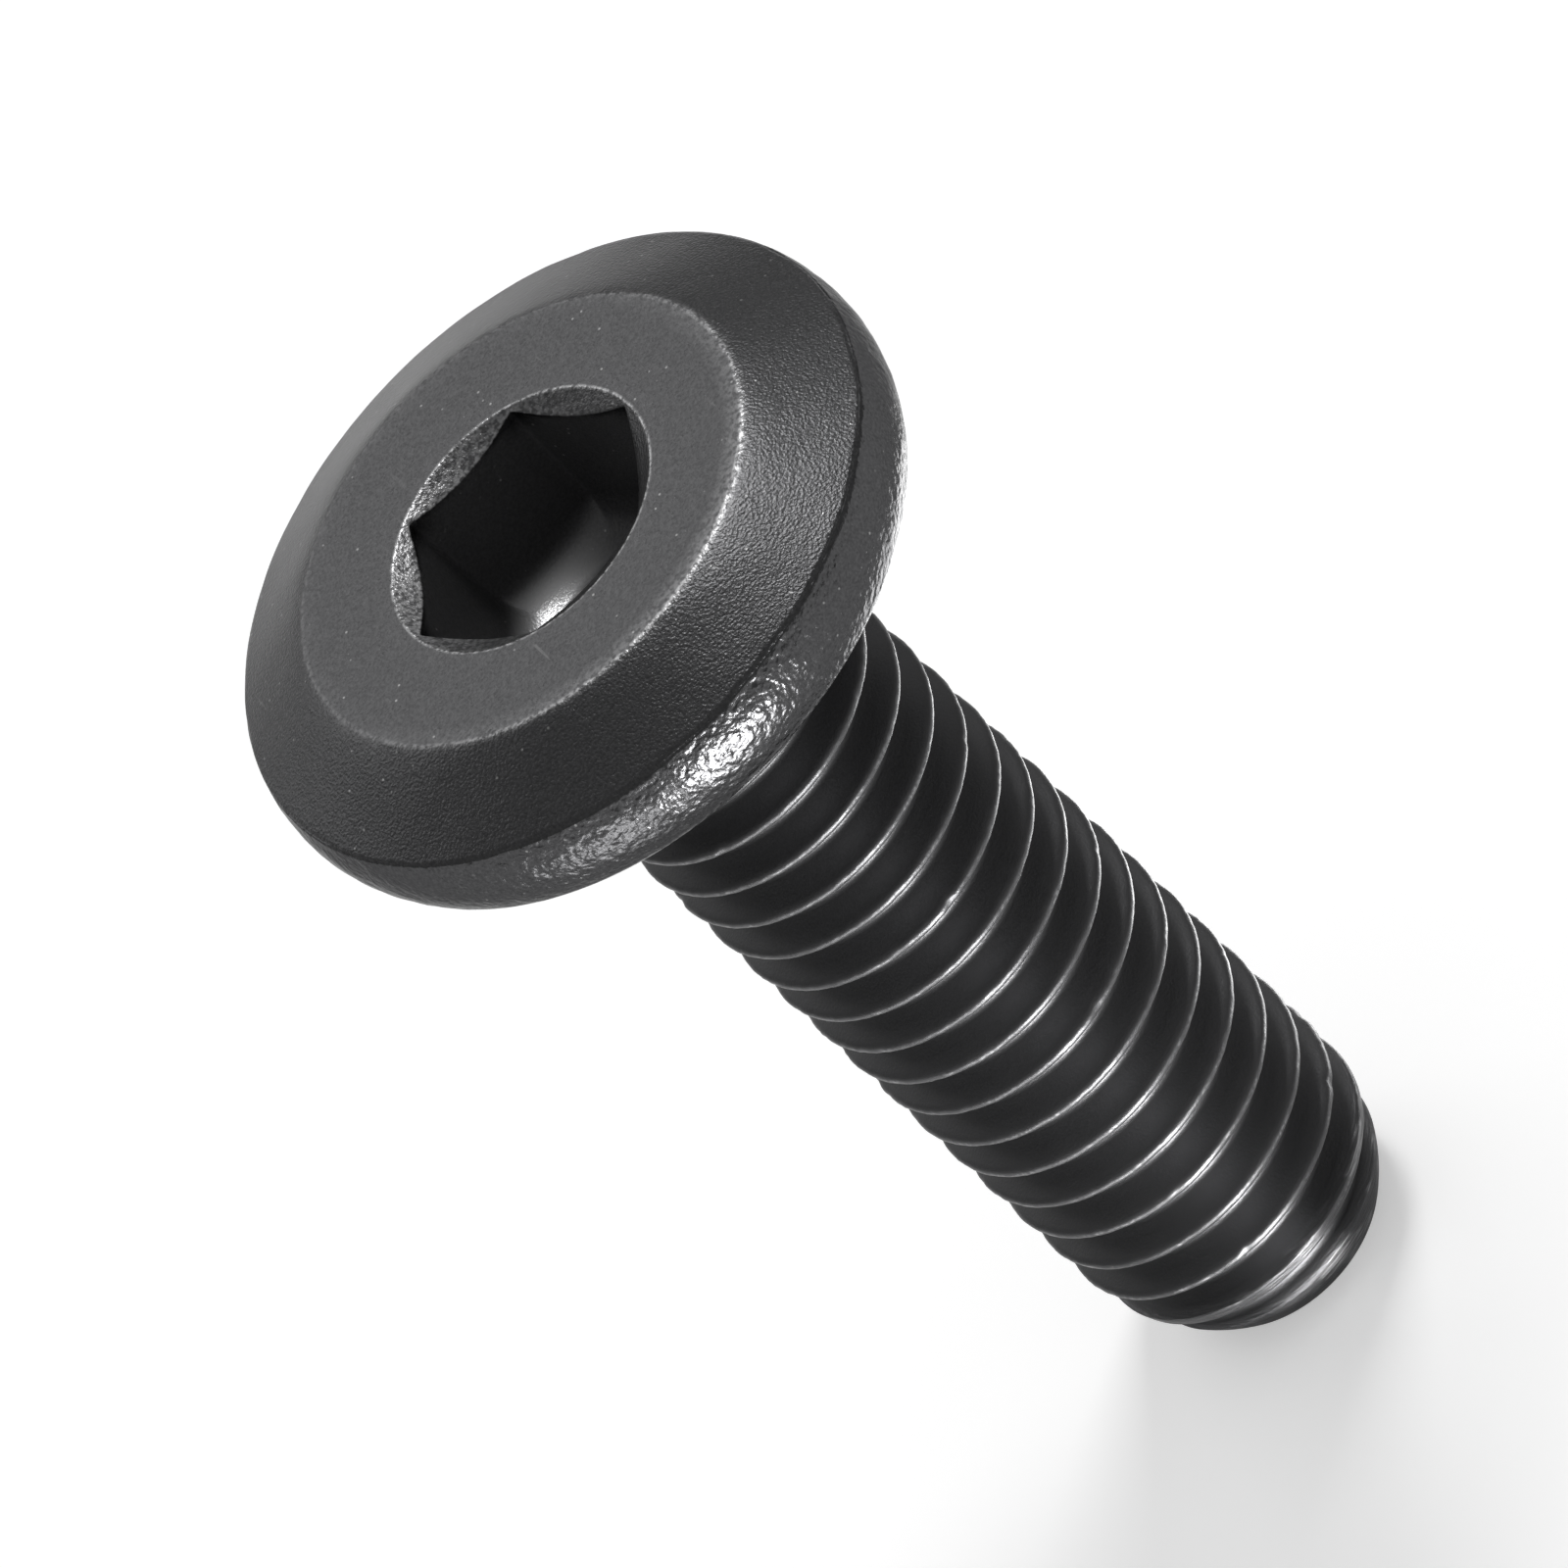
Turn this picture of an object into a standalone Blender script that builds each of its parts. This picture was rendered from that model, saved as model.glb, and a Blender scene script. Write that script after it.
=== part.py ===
"""Furniture connector bolt in blackened steel: a wide flat head with a bevel and a barrel-shaped rim, a hexagon
socket with a shallow countersink, a short plain neck and a metric thread down to a rounded nose.

Metres, +Z up. The bolt stands on its flat end face, with its axis on +Z and the origin at the middle of that face.
"""

import math

import bmesh
import bpy

# Driving dimensions

HEAD_HEIGHT = 0.0026  # from the bearing face under the head to the flat top
HEAD_FACE_DIAMETER = 0.00906
HEAD_CREASE_DIAMETER = 0.01268  # where the bevel ends and the rim begins
HEAD_BEVEL_DROP = 0.00088
RIM_FOOT_DIAMETER = 0.01240
RIM_BULGE = 0.00019  # how far the rim's arc stands out from its chord
RIM_FOOT_EDGE = 0.00007  # chamfer at the edge of the bearing face

SHANK_LENGTH = 0.0202  # from the bearing face to the end
NECK_DIAMETER = 0.0054
NECK_LENGTH = 0.0010
NECK_FILLET = 0.0004
RUN_OUT_LENGTH = 0.0010  # over which the thread groove reaches its full depth below the neck

THREAD_DIAMETER = 0.00584
PITCH = 0.0010
THREAD_ANGLE = math.radians(60)
CREST_FLAT = PITCH / 8
ROOT_FLAT = PITCH / 5
CREST_HEIGHT_AT_X = 0.00089  # height of the first crest on the +X side
THREAD_START_CONE = math.radians(45)

NOSE_LENGTH = 0.0022
NOSE_BULGE = 0.00019
END_DIAMETER = 0.0039

SOCKET_WIDTH = 0.0045  # across the flats of the hexagon, at the face
SOCKET_DEPTH = 0.0024  # to where the flats begin to turn in
SOCKET_DRAFT = math.radians(5)  # by which each flat leans in on its way down
SOCKET_FOOT_ROUND = 0.00068  # radius between a flat and the bottom
SOCKET_BOTTOM_SLOPE = math.radians(26)  # of the flat pyramid at the bottom
SOCKET_TURN = math.radians(2)  # of a corner from +X, anticlockwise from above
COUNTERSINK_DIAMETER = 0.00532
COUNTERSINK_ANGLE = math.radians(120)

# How finely the round shapes are cut

HEAD_STEPS = 64
THREAD_STEPS = 40
CUTTER_STEPS = 48
RIM_STEPS = 7
FILLET_STEPS = 4
NOSE_STEPS = 7
FOOT_ROUND_STEPS = 5
SOCKET_SIDES = 6

# Working values

CLEARANCE = 0.0003  # by which a cutter passes the surface that it cuts
MERGE_DISTANCE = 0.000001

BEARING_HEIGHT = SHANK_LENGTH
FACE_HEIGHT = SHANK_LENGTH + HEAD_HEIGHT
CREST_RADIUS = THREAD_DIAMETER / 2
THREAD_DEPTH = (PITCH - CREST_FLAT - ROOT_FLAT) / (2 * math.tan(THREAD_ANGLE / 2))
ROOT_RADIUS = CREST_RADIUS - THREAD_DEPTH


def clear_scene():
    for obj in list(bpy.data.objects):
        bpy.data.objects.remove(obj, do_unlink=True)


def new_collection(name):
    collection = bpy.data.collections.new(name)
    bpy.context.scene.collection.children.link(collection)
    return collection


def new_object(name, mesh, collection):
    obj = bpy.data.objects.new(name, mesh)
    collection.objects.link(obj)
    return obj


def as_helper(obj):
    obj.hide_render = True
    obj.display_type = "WIRE"
    return obj


def realised_mesh(obj):
    """A new mesh that holds the object's shape with its modifiers applied."""
    graph = bpy.context.evaluated_depsgraph_get()
    return bpy.data.meshes.new_from_object(obj.evaluated_get(graph))


def arc_between(start, end, bulge, steps):
    """Points on a circular arc from start down to end, both (radius, height), that stands out by bulge.

    The arc stands out to the side of larger radius, and both ends are among the points."""
    chord = math.dist(start, end)
    along = ((end[0] - start[0]) / chord, (end[1] - start[1]) / chord)
    out = (-along[1], along[0])
    arc_radius = chord**2 / (8 * bulge) + bulge / 2
    half_angle = math.asin(chord / (2 * arc_radius))
    centre = [(start[i] + end[i]) / 2 - out[i] * (arc_radius - bulge) for i in range(2)]
    points = []
    for step in range(steps + 1):
        angle = half_angle * (2 * step / steps - 1)
        reach = arc_radius * math.cos(angle)
        slide = arc_radius * math.sin(angle)
        points.append(tuple(centre[i] + out[i] * reach + along[i] * slide for i in range(2)))
    return points


def profile_object(name, points, collection):
    """A line through (radius, height) points in the plane of +X and +Z."""
    mesh = bpy.data.meshes.new(name)
    vertices = [(radius, 0, height) for radius, height in points]
    edges = [(i, i + 1) for i in range(len(points) - 1)]
    mesh.from_pydata(vertices, edges, [])
    return new_object(name, mesh, collection)


def add_screw(obj, steps, rise=0.0, turns=1):
    screw = obj.modifiers.new("Screw", "SCREW")
    screw.axis = "Z"
    screw.screw_offset = rise
    screw.iterations = turns
    screw.steps = steps
    screw.render_steps = steps
    screw.use_merge_vertices = True
    screw.merge_threshold = MERGE_DISTANCE
    return obj


def add_boolean(obj, operation, tool):
    boolean = obj.modifiers.new(tool.name, "BOOLEAN")
    boolean.operation = operation
    boolean.object = tool
    boolean.solver = "EXACT"


def head_profile():
    """The head and the neck, from the middle of the flat top down to a point inside the thread's core."""
    face = HEAD_FACE_DIAMETER / 2
    crease = (HEAD_CREASE_DIAMETER / 2, FACE_HEIGHT - HEAD_BEVEL_DROP)
    rim_foot = (RIM_FOOT_DIAMETER / 2, BEARING_HEIGHT + RIM_FOOT_EDGE)
    neck = NECK_DIAMETER / 2
    neck_end = BEARING_HEIGHT - NECK_LENGTH
    core = ROOT_RADIUS - (neck - ROOT_RADIUS) / 2
    core_end = neck_end - RUN_OUT_LENGTH * (neck - core) / (neck - ROOT_RADIUS)

    points = [(0, FACE_HEIGHT), (face, FACE_HEIGHT)]
    points += arc_between(crease, rim_foot, RIM_BULGE, RIM_STEPS)
    points.append((rim_foot[0] - RIM_FOOT_EDGE, BEARING_HEIGHT))
    for step in range(FILLET_STEPS + 1):
        angle = math.radians(90) * step / FILLET_STEPS
        radius = neck + NECK_FILLET * (1 - math.sin(angle))
        height = BEARING_HEIGHT - NECK_FILLET * (1 - math.cos(angle))
        points.append((radius, height))
    points += [(neck, neck_end), (core, core_end), (0, core_end)]
    return points


def thread_envelope_profile():
    """The outline that the thread is cut to: a cone at the neck, and the nose and end face at the bottom."""
    clear = CREST_RADIUS + CLEARANCE
    inside_neck = NECK_DIAMETER / 2 - CLEARANCE
    top = BEARING_HEIGHT - NECK_LENGTH
    cone_foot = top - (clear - inside_neck) / math.tan(THREAD_START_CONE)
    nose = arc_between((CREST_RADIUS, NOSE_LENGTH), (END_DIAMETER / 2, 0), NOSE_BULGE, NOSE_STEPS)
    return [(0, top), (inside_neck, top), (clear, cone_foot), (clear, NOSE_LENGTH + CLEARANCE)] + nose + [(0, 0)]


def thread_profile(first_crest):
    """One pitch of the thread's outline, from the top of a ridge's upper flank down to the next ridge."""
    flank = (PITCH - CREST_FLAT - ROOT_FLAT) / 2
    top = first_crest + CREST_FLAT / 2
    return [
        (CREST_RADIUS, top),
        (CREST_RADIUS, top - CREST_FLAT),
        (ROOT_RADIUS, top - CREST_FLAT - flank),
        (ROOT_RADIUS, top - CREST_FLAT - flank - ROOT_FLAT),
        (CREST_RADIUS, top - PITCH),
    ]


def close_coil_ends(shape):
    """Closes each open end of a coiled surface with a fan of faces to a point on the axis."""
    open_edges = [edge for edge in shape.edges if edge.is_boundary]
    middle = sum(vertex.co.z for vertex in shape.verts) / len(shape.verts)
    for is_upper in (False, True):
        end = [edge for edge in open_edges if (edge.verts[0].co.z > middle) == is_upper]
        heights = [vertex.co.z for edge in end for vertex in edge.verts]
        height = (min(heights) + max(heights)) / 2
        extruded = bmesh.ops.extrude_edge_only(shape, edges=end)["geom"]
        fan_points = [item for item in extruded if isinstance(item, bmesh.types.BMVert)]
        bmesh.ops.pointmerge(shape, verts=fan_points, merge_co=(0, 0, height))
    bmesh.ops.recalc_face_normals(shape, faces=shape.faces)


def thread_coil(collection):
    """A closed right-hand thread, one turn longer than the shank at each end."""
    turns = math.ceil(SHANK_LENGTH / PITCH) + 2
    profile = profile_object("thread_profile", thread_profile(CREST_HEIGHT_AT_X - PITCH), collection)
    add_screw(profile, THREAD_STEPS, rise=PITCH, turns=turns)
    mesh = realised_mesh(profile)
    bpy.data.objects.remove(profile, do_unlink=True)

    shape = bmesh.new()
    shape.from_mesh(mesh)
    bmesh.ops.remove_doubles(shape, verts=shape.verts, dist=MERGE_DISTANCE)
    close_coil_ends(shape)
    shape.to_mesh(mesh)
    shape.free()
    return new_object("thread", mesh, collection)


def socket_profile():
    """A corner line of the hexagonal punch, from the middle of its top down the corner to its tip.

    The flats lean in by the draft, turn in along a round at their foot and end in a flat pyramid. The line is worked
    out for the middle of a flat, and a corner is further out by the same factor all the way."""
    to_corner = 1 / math.cos(math.pi / SOCKET_SIDES)
    lean = math.tan(SOCKET_DRAFT)
    top_reach = SOCKET_WIDTH / 2 + CLEARANCE * lean
    foot_reach = SOCKET_WIDTH / 2 - SOCKET_DEPTH * lean
    foot_height = FACE_HEIGHT - SOCKET_DEPTH

    points = [(0, FACE_HEIGHT + CLEARANCE), (top_reach * to_corner, FACE_HEIGHT + CLEARANCE)]
    first, last = SOCKET_DRAFT, math.radians(90) - SOCKET_BOTTOM_SLOPE
    for step in range(FOOT_ROUND_STEPS + 1):
        angle = first + (last - first) * step / FOOT_ROUND_STEPS
        reach = foot_reach - SOCKET_FOOT_ROUND * (math.cos(first) - math.cos(angle))
        height = foot_height - SOCKET_FOOT_ROUND * (math.sin(angle) - math.sin(first))
        points.append((reach * to_corner, height))
    points.append((0, height - reach * math.tan(SOCKET_BOTTOM_SLOPE)))
    return points


def countersink_profile():
    """The countersink's cone, from above the face down to inside the hexagon."""
    slope = math.tan(COUNTERSINK_ANGLE / 2)
    top = FACE_HEIGHT + CLEARANCE
    top_reach = COUNTERSINK_DIAMETER / 2 + CLEARANCE * slope
    foot_reach = SOCKET_WIDTH / 2 - CLEARANCE
    foot = top - (top_reach - foot_reach) / slope
    return [(0, top), (top_reach, top), (foot_reach, foot), (0, foot)]


def socket_cutters(collection):
    """The hexagonal punch, which is its corner line turned in six steps, and the round countersink."""
    punch = as_helper(profile_object("socket", socket_profile(), collection))
    punch.rotation_euler.z = SOCKET_TURN
    countersink = as_helper(profile_object("countersink", countersink_profile(), collection))
    return [add_screw(punch, SOCKET_SIDES), add_screw(countersink, CUTTER_STEPS)]


def blackened_steel():
    material = bpy.data.materials.new("blackened_steel")
    material.use_nodes = True
    surface = material.node_tree.nodes["Principled BSDF"]
    surface.inputs["Base Color"].default_value = (0.055, 0.055, 0.057, 1)
    surface.inputs["Metallic"].default_value = 1.0
    surface.inputs["Roughness"].default_value = 0.38
    return material


def connector_bolt(parts, tools):
    """The whole bolt as one solid: the turned head and neck, joined to the cut thread, less the socket."""
    envelope = as_helper(profile_object("thread_envelope", thread_envelope_profile(), tools))
    add_screw(envelope, THREAD_STEPS)
    thread = as_helper(thread_coil(tools))
    add_boolean(thread, "INTERSECT", envelope)

    blank = as_helper(profile_object("head_and_neck", head_profile(), tools))
    add_screw(blank, HEAD_STEPS)
    add_boolean(blank, "UNION", thread)
    for cutter in socket_cutters(tools):
        add_boolean(blank, "DIFFERENCE", cutter)

    mesh = realised_mesh(blank)
    mesh.name = "connector_bolt"
    mesh.shade_smooth()
    mesh.set_sharp_from_angle(angle=math.radians(28))
    mesh.materials.append(blackened_steel())
    return new_object("connector_bolt", mesh, parts)


clear_scene()
connector_bolt(new_collection("Furniture connector bolt"), new_collection("Cutters"))
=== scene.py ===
# %% [markdown]
# A furniture connector bolt in blackened steel
#
# This file is a lesson in cells. It takes the bolt that was packed as a CAD part, and gives it the surface
# that a camera sees close up: softened edges, a pressed groove round the head, a rolled thread with worn
# crests, and a black oxide skin. The bolt stands on the flat end of its thread, so the head is at the top.
#
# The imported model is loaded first, as a fixed frame. Everything made later has to stay inside its box.

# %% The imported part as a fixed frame
import math

import bpy
import numpy as np
from mathutils import Matrix, Quaternion, Vector


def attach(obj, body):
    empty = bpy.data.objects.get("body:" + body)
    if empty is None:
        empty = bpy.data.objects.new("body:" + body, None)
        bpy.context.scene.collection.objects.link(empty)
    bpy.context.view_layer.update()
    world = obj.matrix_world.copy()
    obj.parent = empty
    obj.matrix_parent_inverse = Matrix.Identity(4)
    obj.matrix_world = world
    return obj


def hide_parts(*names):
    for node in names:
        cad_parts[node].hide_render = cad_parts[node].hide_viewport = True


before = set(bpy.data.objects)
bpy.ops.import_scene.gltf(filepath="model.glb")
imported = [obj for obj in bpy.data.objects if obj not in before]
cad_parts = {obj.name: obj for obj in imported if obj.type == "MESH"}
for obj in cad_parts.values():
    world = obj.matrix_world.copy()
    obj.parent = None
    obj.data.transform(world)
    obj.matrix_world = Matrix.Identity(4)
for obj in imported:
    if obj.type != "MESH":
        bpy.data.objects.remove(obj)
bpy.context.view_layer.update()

MM = 0.001  # one millimetre in metres, which is the scene's unit

# %% [markdown]
# The camera
#
# The bolt is seen from well above its head, and the picture is turned so that the shank runs down to the
# right. A camera's turn can be given by three directions: what is to the right in the picture, what is up,
# and what is straight behind the camera. They become the columns of its rotation matrix. The lens is very
# long and the camera stands far off, so near and far parts of the bolt keep almost the same scale, as in a
# product picture.

# %% Camera from three directions
PICTURE_RIGHT = Vector((0.6815, -0.4574, -0.5708))
PICTURE_UP = Vector((0.7318, 0.4259, 0.5316))
LOOKED_AT = Vector((-0.24, 0.0, 14.73)) * MM
CAMERA_DISTANCE = 0.8053
FRAME_WIDTH = 26.62 * MM  # of the scene across the picture, where the camera looks
SENSOR_WIDTH = 36.0

behind = PICTURE_RIGHT.cross(PICTURE_UP).normalized()
up = behind.cross(PICTURE_RIGHT).normalized()
right = up.cross(behind)

lens_data = bpy.data.cameras.new("long_lens")
lens_data.sensor_width = SENSOR_WIDTH
lens_data.lens = SENSOR_WIDTH * CAMERA_DISTANCE / FRAME_WIDTH
lens_data.clip_start, lens_data.clip_end = 0.05, 20.0
camera = bpy.data.objects.new("camera", lens_data)
bpy.context.scene.collection.objects.link(camera)
camera.matrix_world = Matrix.Translation(LOOKED_AT + behind * CAMERA_DISTANCE) @ Matrix(
    (right, up, behind)
).transposed().to_4x4()
bpy.context.scene.camera = camera
camera_rise = math.degrees(math.asin(behind.z))
print("lens", round(lens_data.lens), "mm, camera", round(camera_rise, 1), "degrees above level")

# %% [markdown]
# The sizes
#
# Lengths are in millimetres up to the moment a mesh is written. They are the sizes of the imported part. The
# small ones at the end are what only a close view shows: how far an edge is worn round, and how deep the
# press marks are.

# %% Sizes in millimetres
FACE_HEIGHT = 22.8
BEARING_HEIGHT = 20.2
FACE_RADIUS = 4.53
CREASE_RADIUS, CREASE_DROP = 6.34, 0.88
RIM_FOOT_RADIUS, RIM_FOOT_EDGE, RIM_BULGE = 6.20, 0.07, 0.19

HALF_FLATS, SOCKET_DEPTH = 2.25, 2.4  # of the hexagon at the face, and down to where the flats turn in
SOCKET_TURN, SOCKET_DRAFT, BOTTOM_SLOPE = np.radians((2, 5, 26))
FOOT_ROUND = 0.68
SINK_RADIUS, SINK_SLOPE = 2.66, math.tan(math.radians(30))

NECK_RADIUS, NECK_FOOT, NECK_FILLET, RUN_OUT = 2.7, 19.2, 0.4, 1.0
CREST_RADIUS, ROOT_RADIUS, PITCH = 2.92, 2.335, 1.0
FIRST_CREST = 0.89  # height of the first crest on the +X side
FLANK_SLOPE, ROOT_HALF = math.tan(math.radians(60)), 0.1  # how fast a flank falls, and the root's half width
NOSE_HEIGHT, NOSE_BULGE, END_RADIUS = 2.2, 0.19, 1.95

BEVEL_CROWN, CROWN_WIDTH = 0.036, 0.20  # how much flatter the bevel starts, and over which reach
EDGE, FINE_EDGE, END_EDGE = 0.035, 0.02, 0.06  # how far an edge's rounding reaches on each side
EDGE_GUARD = 0.03  # from an edge's rounding to the row that holds the face beside it flat
TIP_ROUND = 0.35  # how far the point of the socket's bottom is blunted
GROOVE_DEPTH, GROOVE_WIDTH = 0.014, 0.026  # of the groove under the bevel, at its finest
GROOVE_GROWTH, GROOVE_SPREAD = 0.014, 0.008  # how much deeper and wider it is on the near side
RIM_LENGTH, RIM_SINK = 1.78, 0.012  # the rim's way down its line, and how far it lies in for its dimples
CREST_SINK = 0.004  # keeps the highest burrs of a crest inside the thread's outer diameter

HEAD_COLUMNS = 360  # one each degree, so the hexagon's corners fall on columns
THREAD_COLUMNS = 180


# %% [markdown]
# Drawing lines: an arc, and a corner worn round
#
# The head is a turned shape, so most of it is one line carried round the axis. Two helpers draw that line.
# The first gives points on an arc that bulges from a chord. The second puts five points in place of a sharp
# corner. The outer two of the five hold the flat parts beside the edge flat when the surface is shaded
# smooth, because smooth shading spreads the turn of an edge over the faces next to it.


# %% Arc and softened corner
def arc(start, end, bulge, count):
    """Points (radius, height) from start to end on the circle that stands out from their chord by bulge.

    For a chord c and a bulge b the circle's radius is c squared over 8 b, plus b over 2."""
    start, end = np.array(start, float), np.array(end, float)
    chord = np.linalg.norm(end - start)
    along = (end - start) / chord
    out = np.array([-along[1], along[0]])
    radius = chord**2 / (8 * bulge) + bulge / 2
    angle = np.linspace(-1, 1, count) * math.asin(chord / (2 * radius))
    centre = (start + end) / 2 - out * (radius - bulge)
    return centre + radius * (np.outer(np.cos(angle), out) + np.outer(np.sin(angle), along))


def soft_corner(before, corner, after, reach, guard=EDGE_GUARD):
    """Five points in place of a corner: a guard, the edge's start, its middle, its end and a guard.

    The start and end are a reach away from the corner along its two sides. The middle is half of the corner
    plus a quarter of each of them, which lies close to the round that touches both sides."""
    before, corner, after = (np.array(p, float) for p in (before, corner, after))
    back = (before - corner) / np.linalg.norm(before - corner)
    ahead = (after - corner) / np.linalg.norm(after - corner)
    start, end = corner + back * reach, corner + ahead * reach
    middle = corner / 2 + (start + end) / 4
    return np.array([start + back * guard, start, middle, end, end + ahead * guard])


print("softened corner of a square step:", soft_corner((0, 1), (1, 1), (1, 0), EDGE).round(3).tolist())


# %% [markdown]
# Rows of points
#
# Each surface is an array of rows. A row goes once round the axis, and each next row is a little further
# along the line. With all rows in one array the points need no loop, and the faces follow from their
# numbers in the array.


# %% Rows round the axis
head_angle = np.radians(np.arange(HEAD_COLUMNS) * 360 / HEAD_COLUMNS)
thread_angle = np.radians(np.arange(THREAD_COLUMNS) * 360 / THREAD_COLUMNS)


def rows_round(radius, height, angle):
    """Points (radius cos a, radius sin a, height) for the radius and height of each row and each angle a."""
    radius, height = np.broadcast_arrays(radius, height)
    return np.stack([radius * np.cos(angle), radius * np.sin(angle), height], axis=-1)


def turned(line, angle):
    """A line of (radius, height) points carried round the axis."""
    return rows_round(line[:, :1] + 0 * angle, line[:, 1:] + 0 * angle, angle)


def waves(points, size, seed, count=36):
    """Smooth random bumps at points, nearly all within -2 to 2.

    The sum of count sine waves in random directions, each about size long, over the root of half their
    number."""
    draw = np.random.default_rng(seed)
    direction = draw.normal(size=(count, 3))
    direction /= np.linalg.norm(direction, axis=1, keepdims=True)
    rate = 2 * np.pi / (size * draw.uniform(0.7, 1.5, count))
    phase = points @ (direction * rate[:, None]).T + draw.uniform(0, 2 * np.pi, count)
    return np.sin(phase).sum(axis=-1) / math.sqrt(count / 2)


# %% [markdown]
# The hexagon socket
#
# The socket is pressed by a hexagonal punch. A real punch isn't a straight prism: its six flats lean by a
# few degrees so that it comes out again, and they turn in along a round that ends in a blunt, flat cone.
# That round is what catches the light deep in the socket. A countersink leads the key in. All of it is one
# family of rows: each row is a hexagon at another width and depth, and it turns into a circle on its way
# down the round and on its way up the countersink. The mouth rises and falls by itself, because its depth
# depends on how far the hexagon reaches.


# %% Hexagon
def hexagon_reach(angle, sharpness=90):
    """Distance from the axis to the hexagon at each angle, for flats at a distance of 1.

    A flat whose normal is at angle n is reached at 1 / cos(a - n). The nearest of the six counts. Adding up
    a high power of the six cosines picks it out, and rounds the corners a little."""
    normal = SOCKET_TURN + np.radians(30 + 60 * np.arange(6))
    facing = np.maximum(np.cos(angle[:, None] - normal), 0)
    return 1 / (facing**sharpness).sum(axis=1) ** (1 / sharpness)


hexagon = hexagon_reach(head_angle)
lean = math.tan(SOCKET_DRAFT)
mouth_drop = (SINK_RADIUS - HALF_FLATS * hexagon) / (1 / SINK_SLOPE - lean * hexagon)
print("hexagon reaches", hexagon.min().round(3), "to", hexagon.max().round(3), "times its half width")
print("mouth", mouth_drop.min().round(3), "to", mouth_drop.max().round(3), "mm below the face")

# %% Socket rows
BOTTOM_ROWS, ROUND_ROWS = 9, 9
foot_reach = HALF_FLATS - SOCKET_DEPTH * lean
round_turn = np.linspace(SOCKET_DRAFT, np.pi / 2 - BOTTOM_SLOPE, ROUND_ROWS)[:, None]
round_reach = foot_reach - FOOT_ROUND * (np.cos(SOCKET_DRAFT) - np.cos(round_turn))
round_drop = SOCKET_DEPTH + FOOT_ROUND * (np.sin(round_turn) - np.sin(SOCKET_DRAFT))

inner_share = np.linspace(0.06, 1, BOTTOM_ROWS + 1)[:-1, None]
inner_reach = round_reach[-1] * inner_share
blunted_reach = np.hypot(inner_reach, TIP_ROUND * (1 - inner_share))
inner_drop = round_drop[-1] + (round_reach[-1] - blunted_reach) * math.tan(BOTTOM_SLOPE)
socket_bottom = rows_round(inner_reach + 0 * hexagon, FACE_HEIGHT - inner_drop + 0 * hexagon, head_angle)
hexagon_share = np.linspace(1, 0, ROUND_ROWS)[:, None]  # the round starts as the hexagon and ends as a circle
round_shape = 1 + (hexagon - 1) * hexagon_share
socket_round = rows_round(round_reach * round_shape, FACE_HEIGHT - round_drop + 0 * hexagon, head_angle)[::-1]

wall_share = np.array([[0.04], [0.2], [0.4], [0.6], [0.8], [0.95], [1.0]])
wall_drop = SOCKET_DEPTH + (mouth_drop + EDGE - SOCKET_DEPTH) * wall_share
socket_wall = rows_round((HALF_FLATS - wall_drop * lean) * hexagon, FACE_HEIGHT - wall_drop, head_angle)

mouth_reach = (HALF_FLATS - mouth_drop * lean) * hexagon + np.array([[0.0], [0.006], [0.022]])
mouth_height = FACE_HEIGHT - mouth_drop + np.array([[-0.4 * EDGE], [-0.004], [0.012]])
socket_mouth = rows_round(mouth_reach, mouth_height, head_angle)

sink_share = np.array([[0.35], [0.7], [0.92]])
sink_reach = mouth_reach[-1] + (SINK_RADIUS - 0.02 - mouth_reach[-1]) * sink_share
sink_rows = rows_round(sink_reach, FACE_HEIGHT - (SINK_RADIUS - sink_reach) * SINK_SLOPE, head_angle)

socket_rows = np.concatenate([socket_bottom, socket_round, socket_wall, socket_mouth, sink_rows])
print("socket:", len(socket_rows), "rows,", inner_drop.max().round(2), "mm deep")
print("its foot is", round(2 * foot_reach, 2), "mm wide")

# %% [markdown]
# The head's outer line
#
# From the countersink out: the flat ring, the bevel, a fine groove where the bevel ends, the barrel-shaped
# rim, the edge of the bearing face, the bearing face itself, and the neck. The groove is left by the
# forging dies: metal flows into the gap between them, and the bevel ends at a hair line. The groove isn't
# drawn into this line but pressed in later, because it wanders and changes its depth round the head.

# %% Outer line from the countersink to the neck
face = FACE_HEIGHT
sink_edge = (SINK_RADIUS, face)
bevel_edge = (FACE_RADIUS, face)
crease_point = (CREASE_RADIUS, face - CREASE_DROP)
rim_foot = (RIM_FOOT_RADIUS, BEARING_HEIGHT + RIM_FOOT_EDGE)
bearing_edge = (RIM_FOOT_RADIUS - RIM_FOOT_EDGE, BEARING_HEIGHT)
bevel_slope = (CREASE_DROP + BEVEL_CROWN) / (CREASE_RADIUS - FACE_RADIUS)


def bevel_points(radii):
    """Points on the bevel at these radii.

    At a reach x past the face, the height falls by slope x less crown (1 - exp(-x / width)), so the bevel
    starts flatter and comes to its slope within a few tenths of a millimetre."""
    reach = np.array(radii) - FACE_RADIUS
    drop = bevel_slope * reach - BEVEL_CROWN * (1 - np.exp(-reach / CROWN_WIDTH))
    return np.stack([reach + FACE_RADIUS, face - drop], axis=1)


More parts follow.
